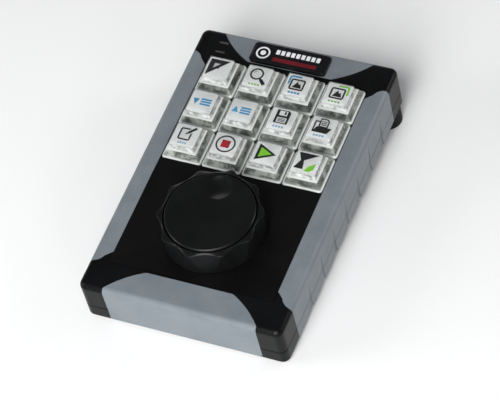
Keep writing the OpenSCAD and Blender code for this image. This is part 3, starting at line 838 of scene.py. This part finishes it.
# The jog wheel is turned, and its top is the lower of the flat and a bowl: a sphere whose cap is as deep
# and as wide as the dimple.
def jogWheel(shape, radius, top):
    s = shape
    bore, boss, inside = shaftR + s["boreGap"], shaftR + s["boss"], radius - s["skirtWall"]
    under, foot, flatR = top - s["slab"], top - s["slab"] - s["skirt"], radius - s["flatIn"]
    section = roundedSection([
        (bore, top - s["bore"], 0), (bore, foot, 0.05), (boss, foot, 0.1), (boss, under, 0.3),
        (inside, under, 0.4), (inside, foot, 0.1), (radius, foot, 0.1), (radius, top - s["edge"], 0.12),
        (radius - s["edge"], top, 0.22), (flatR, top, 0)])
    flat = np.c_[np.linspace(flatR, 0.05, s["rings"])[1:], np.full(s["rings"] - 1, top)]
    grid = turned(np.vstack([[[onAxis, top - s["bore"]]], section, flat]), knobMiddle, s["columns"])
    turn = math.radians(s["dimpleTurn"])
    reach = radius - s["dimpleR"] - s["dimpleIn"]
    bowl = knobMiddle + reach * np.array([math.cos(turn), math.sin(turn)])
    ball = (s["dimpleR"] ** 2 + s["dimpleDepth"] ** 2) / (2 * s["dimpleDepth"])
    far = np.linalg.norm(grid[..., :2] - bowl, axis=-1)
    depth = top - s["dimpleDepth"] + ball - np.sqrt(np.maximum(ball ** 2 - far ** 2, 0.01))
    soft = softMin(grid[..., 2], depth, s["dimpleSoft"])
    onTop = (grid[..., 2] > top - 0.05) & (far < s["dimpleR"] + 2)
    grid[..., 2] = np.where(onTop, soft, grid[..., 2])
    return skin(grid)


# The ring's outer radius is the lesser of the round and the near side of the nearest leaning cylinder:
# d cos a - sqrt(R^2 - d^2 sin^2 a), where d grows downwards as the cylinder leans out.
def shuttleRing(shape, radius, top):
    s = shape
    wall, inside, bore = radius - s["wall"], radius - s["skirt"], sleeveR + s["boreGap"]
    low, shoulder, lip = s["low"], top - s["drop"], top - s["lip"]
    web, webTop = s["web"], s["web"] + s["webT"]
    hubTop = webTop + s["hubHigh"]
    outer = np.c_[np.full(s["rows"], radius), np.linspace(low + s["edge"], shoulder - s["edge"], s["rows"])]
    crown = roundedSection([(radius, shoulder - s["edge"], 0), (radius, shoulder, 0.32),
        (wall, top - s["crown"], 0.25), (wall, lip, 0)], 6)[1:]
    inner = roundedSection([(wall, lip, 0), (wall, webTop, 0.5), (s["hub"], webTop, 0.4),
        (s["hub"], hubTop, 0.2), (bore, hubTop, 0.05), (bore, web, 0.05), (inside, web, 0.5),
        (inside, low, 0.1), (radius - s["edge"], low, 0), (radius, low + 0.1, 0)])[1:]
    section = np.vstack([outer, crown, inner])
    grid = turned(section, (0, 0), s["columns"])
    angle = np.linspace(0, 2 * np.pi, s["columns"], endpoint=False)
    step = 2 * np.pi / s["scallops"]
    nearest = (angle - math.radians(s["scallopPhase"]) + step / 2) % step - step / 2
    lean = math.tan(math.radians(s["scallopLean"]))
    away = radius - s["scallopDepth"] + s["scallopR"] + (shoulder - section[:, 1:2]) * lean
    under = np.maximum(s["scallopR"] ** 2 - (away * np.sin(nearest)) ** 2, 0)
    scallop = np.where(under > 0, away * np.cos(nearest) - np.sqrt(under), radius + 5)
    edge = softMin(np.full_like(scallop, radius), scallop, s["scallopSoft"])
    # rows on and near the outside move in with the edge, and rows further in stay
    pull = np.clip((section[:, :1] - inside) / s["skirt"], 0, 1)
    across = section[:, :1] - (radius - edge) * pull
    grid[..., 0] = across * np.cos(angle) + knobMiddle[0]
    grid[..., 1] = across * np.sin(angle) + knobMiddle[1]
    return skin(grid, closedRows=True)


jog, ring = jogWheel(jogShape, jogR, jogTop), shuttleRing(ringShape, ringR, jogTop)
addPiece("jogWheel", [jog], knobBlack, "jog", ["jog_wheel"])
addPiece("shuttleRing", [ring], knobBlack, "shuttle", ["shuttle_ring"])
print("knob made")

# Badge: a glossy plaque with a raised rim, a row of pale blocks over a dark bar, and a ring with a dot.
badgeShape = {
    "rim": 0.55, "rimRound": 0.4, "rimFoot": 0.15, "rimHigh": 0.18, "edge": 0.1, "corner": 1.8,
    "steps": 8, "printLift": 0.01,
}
badgeLow, badgeHigh = levelBox("badge")
badgeMiddle = (badgeLow + badgeHigh) / 2
badgeHalf = (badgeHigh - badgeLow) / 2
badgeFace = badgeHigh[2] - badgeShape["rimHigh"]


def plaque(middle, halfX, halfY, low, high, shape):
    s = shape
    face = high - s["rimHigh"]
    section = roundedSection([
        (onAxis, low, 0), (halfY, low, 0.05), (halfY, high - s["edge"], 0.25),
        (halfY - s["rim"] * s["rimRound"], high, 0.15), (halfY - s["rim"], high, 0.1),
        (halfY - s["rim"] - s["rimFoot"], face, 0.05), (onAxis, face, 0)])
    rows = np.c_[halfY - section[:, 0], section[:, 1]]
    return skin(carriedRound(rows, halfX, halfY, s["corner"], middle, s["steps"]))


def badgeSigns():
    signs = [("white", panel(x, 0.6, x + 1.7, 3.1, 0.15)) for x in np.arange(-7.2, 14.5, 2.42)]
    signs += [("darkRed", panel(-7.6, -3.4, 13.4, -1.3, 0.2))]
    signs += [("white", disc(-13, 0, 3.3, 48), disc(-13, 0, 2.5, 48)), ("white", disc(-13, 0, 1.3))]
    return signs


badge = plaque(badgeMiddle[:2], *badgeHalf[:2], badgeLow[2], badgeHigh[2], badgeShape)
addPiece("badgePlaque", [badge], plaqueGloss, "case", ["badge"])
shells, colours = printShells(badgeSigns(), badgeMiddle[:2], badgeFace + badgeShape["printLift"])
addPiece("badgePrint", shells, colours, "case")
print("badge made")

# Camera, in degrees and metres, and a long lens in millimetres.
cameraLook = {
    "azimuth": 32.013, "elevation": 50.493, "roll": -12.628, "distance": 1.159, "lens": 190.4,
    "aim": (0.00240, -0.00172, 0.01158), "clip": (0.05, 20),
}


def addCamera(look):
    data = bpy.data.cameras.new("mainCamera")
    camera = bpy.data.objects.new("mainCamera", data)
    bpy.context.scene.collection.objects.link(camera)
    azimuth, elevation = math.radians(look["azimuth"]), math.radians(look["elevation"])
    back = Vector((math.sin(azimuth) * math.cos(elevation), -math.cos(azimuth) * math.cos(elevation),
        math.sin(elevation)))
    turn = (-back).to_track_quat("-Z", "Y").to_matrix() @ Matrix.Rotation(math.radians(look["roll"]), 3, "Z")
    camera.matrix_world = Matrix.Translation(Vector(look["aim"]) + back * look["distance"]) @ turn.to_4x4()
    data.lens = look["lens"]
    data.clip_start, data.clip_end = look["clip"]
    bpy.context.scene.camera = camera


addCamera(cameraLook)

# Soft round lights, each aimed at the part. Places and sizes are in metres, power in watts.
lightLook = {
    "top": {"from": (0.15, -0.95, 1.1), "size": 0.7, "power": 16.5},
    "front": {"from": (0.1, -1.15, 0.5), "size": 0.7, "power": 11},
    "left": {"from": (-1.1, -0.6, 0.55), "size": 0.6, "power": 5.5},
    "right": {"from": (0.95, 0.75, 0.6), "size": 0.5, "power": 3.2},
    "rear": {"from": (-0.75, 1.15, 0.33), "size": 0.7, "power": 2.2},
    "spark": {"from": (0.55, -0.75, 0.3), "size": 0.12, "power": 1.0},
}


def addLights(lights):
    for name, light in lights.items():
        data = bpy.data.lights.new(name + "Light", "AREA")
        data.shape, data.size, data.energy = "DISK", light["size"], light["power"]
        lamp = bpy.data.objects.new(name + "Light", data)
        bpy.context.scene.collection.objects.link(lamp)
        lamp.location = light["from"]
        lamp.rotation_mode = "QUATERNION"
        lamp.rotation_quaternion = (-Vector(light["from"])).to_track_quat("-Z", "Y")


addLights(lightLook)

worldLook = {"colour": (0.95, 0.97, 1.0, 1), "strength": 0.2}


def addWorld(look):
    world = bpy.data.worlds.new("studioWorld")
    bpy.context.scene.world = world
    world.use_nodes = True
    sky = world.node_tree.nodes["Background"]
    sky.inputs["Color"].default_value = look["colour"]
    sky.inputs["Strength"].default_value = look["strength"]


addWorld(worldLook)
bpy.context.scene.view_settings.view_transform = "Standard"


# A plain pale floor, just under the feet.
floorLook = {"colour": (0.76, 0.76, 0.76), "roughness": 0.9, "half": 6.0, "low": -0.0002}


def addFloor(look):
    half, low = look["half"], look["low"]
    mesh = bpy.data.meshes.new("studioFloor")
    corners = [(-half, -half, low), (half, -half, low), (half, half, low), (-half, half, low)]
    mesh.from_pydata(corners, [], [(0, 1, 2, 3)])
    mesh.materials.append(Shader("paleFloor").paint(Base_Color=look["colour"], Roughness=look["roughness"]))
    floor = bpy.data.objects.new("studioFloor", mesh)
    bpy.context.scene.collection.objects.link(floor)


addFloor(floorLook)
print("stage made")
